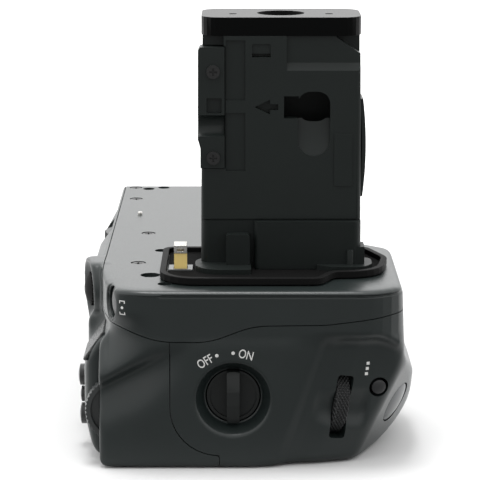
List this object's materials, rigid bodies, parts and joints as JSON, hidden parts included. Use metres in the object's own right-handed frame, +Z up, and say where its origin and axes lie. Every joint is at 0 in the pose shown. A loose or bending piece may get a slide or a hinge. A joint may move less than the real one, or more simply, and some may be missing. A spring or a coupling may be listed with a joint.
{
  "type": "camera battery grip",
  "caption": "Battery grip that screws under a camera: a tower for the battery chamber, a slide-out battery tray, and a second set of dials, buttons and a joystick for upright holding.",
  "frame": {"origin": "centre of the tripod socket's mouth, on the underside", "axes": "+X towards the far end, where the battery tray comes out; -X is the control end; +Y towards the rear, where the joystick is; +Z up, along the tower"},
  "size_m": [0.1345, 0.0813, 0.104],
  "materials": {
    "cover_plastic": "fine-grained moulded, dark charcoal",
    "base_metal": "matt black paint",
    "frame_plastic": "glass-filled, matt",
    "tower_plastic": "semi-matt black",
    "control_plastic": "satin black",
    "shutter_plastic": "smooth satin",
    "rubber": "matt, stippled",
    "screw_steel": "blackened steel",
    "bright_steel": "turned steel",
    "gold_plate": "gold-plated spring metal",
    "board": "coated board"
  },
  "bodies": {
    "grip_body": {"top_cover": "cover_plastic", "rear_cover": "cover_plastic", "front_cover": "cover_plastic", "base_plate": "base_metal", "base_screws": "screw_steel", "inner_frame": "frame_plastic", "tripod_socket": "bright_steel", "tower_base": "tower_plastic", "tower_shell": "tower_plastic", "tower_cap": "tower_plastic", "tower_bracket": "tower_plastic", "bracket_screws": "screw_steel", "side_spring": "tower_plastic", "gasket": "rubber", "seal_plate": "tower_plastic", "ground_contact": "gold_plate", "contact_clip": "bright_steel", "contact_socket": "tower_plastic", "locating_pin": "bright_steel", "top_screws": "screw_steel", "thumb_pad": "rubber", "front_dial_axle": "bright_steel", "rear_dial_axle": "bright_steel", "wheel_axle": "bright_steel", "control_board": "board", "button_switches": "bright_steel", "bay_contacts": "gold_plate"},
    "power_knob": {"power_knob": "control_plastic"},
    "front_dial": {"front_dial": "control_plastic"},
    "rear_dial": {"rear_dial": "control_plastic"},
    "shutter_button": {"shutter_button": "shutter_plastic"},
    "function_button": {"function_button": "control_plastic"},
    "focus_button": {"focus_button": "control_plastic"},
    "upper_rear_button": {"upper_rear_button": "control_plastic"},
    "middle_rear_button": {"middle_rear_button": "control_plastic"},
    "lower_rear_button": {"lower_rear_button": "control_plastic"},
    "joystick_ring": {"joystick_ring": "control_plastic"},
    "joystick_cap": {"joystick_cap": "rubber"},
    "thumbwheel": {"thumbwheel": "control_plastic"},
    "mount_screw": {"mount_screw": "bright_steel"},
    "tray": {"battery_tray": "frame_plastic", "tray_cap": "cover_plastic", "tray_contacts": "gold_plate"},
    "tray_lock": {"tray_lock": "control_plastic"}
  },
  "joints": [
    {"name": "power_turn", "type": "hinge", "parent": "grip_body", "child": "power_knob", "pos_m": [-0.076, -0.0044, 0.0169], "axis": [-1, 0, 0], "range_deg": [0, 20]},
    {"name": "front_dial_spin", "type": "hinge", "parent": "grip_body", "child": "front_dial", "pos_m": [-0.06855, -0.02776, 0.01486], "axis": [-0.2772, 0.9531, 0.1213], "continuous": true},
    {"name": "rear_dial_spin", "type": "hinge", "parent": "grip_body", "child": "rear_dial", "pos_m": [-0.074, 0.0226, 0.0133], "axis": [1, 0, 0], "continuous": true},
    {"name": "shutter_press", "type": "slide", "parent": "grip_body", "child": "shutter_button", "axis": [0.4078, 0.8252, 0.3907], "range_m": [0, 0.0008], "stiffness_N_per_m": 350},
    {"name": "function_press", "type": "slide", "parent": "grip_body", "child": "function_button", "axis": [0.9592, 0.2671, 0.0931], "range_m": [0, 0.0008], "stiffness_N_per_m": 350},
    {"name": "focus_press", "type": "slide", "parent": "grip_body", "child": "focus_button", "axis": [0.2425, -0.9701, 0], "range_m": [0, 0.0008], "stiffness_N_per_m": 350},
    {"name": "upper_rear_press", "type": "slide", "parent": "grip_body", "child": "upper_rear_button", "axis": [0, -1, 0], "range_m": [0, 0.0008], "stiffness_N_per_m": 350},
    {"name": "middle_rear_press", "type": "slide", "parent": "grip_body", "child": "middle_rear_button", "axis": [0, -1, 0], "range_m": [0, 0.0008], "stiffness_N_per_m": 350},
    {"name": "lower_rear_press", "type": "slide", "parent": "grip_body", "child": "lower_rear_button", "axis": [0, -1, 0], "range_m": [0, 0.0008], "stiffness_N_per_m": 350},
    {"name": "joystick_pan", "type": "hinge", "parent": "grip_body", "child": "joystick_ring", "pos_m": [-0.04533, 0.02675, 0.0358], "axis": [0, 0, 1], "range_deg": [-8, 8], "stiffness_Nm_per_rad": 0.02},
    {"name": "joystick_tilt", "type": "hinge", "parent": "joystick_ring", "child": "joystick_cap", "pos_m": [-0.04533, 0.02675, 0.0358], "axis": [0.975, 0.2221, 0], "range_deg": [-8, 8], "stiffness_Nm_per_rad": 0.02},
    {"name": "mount_screw_spin", "type": "hinge", "parent": "grip_body", "child": "mount_screw", "pos_m": [0, 0, 0.038], "axis": [0, 0, 1], "continuous": true},
    {"name": "thumbwheel_spin", "type": "hinge", "parent": "grip_body", "child": "thumbwheel", "pos_m": [0, 0.0205, 0.038], "axis": [0, 0, 1], "continuous": true},
    {"name": "tray_slide", "type": "slide", "parent": "grip_body", "child": "tray", "axis": [1, 0, 0], "range_m": [0, 0.112]},
    {"name": "tray_lock_turn", "type": "hinge", "parent": "tray", "child": "tray_lock", "pos_m": [0.054, 0, 0.0208], "axis": [1, 0, 0], "range_deg": [0, 90]}
  ],
  "couplings": [
    {"joint": "thumbwheel_spin", "follows": "mount_screw_spin", "ratio": -1.7333}
  ]
}
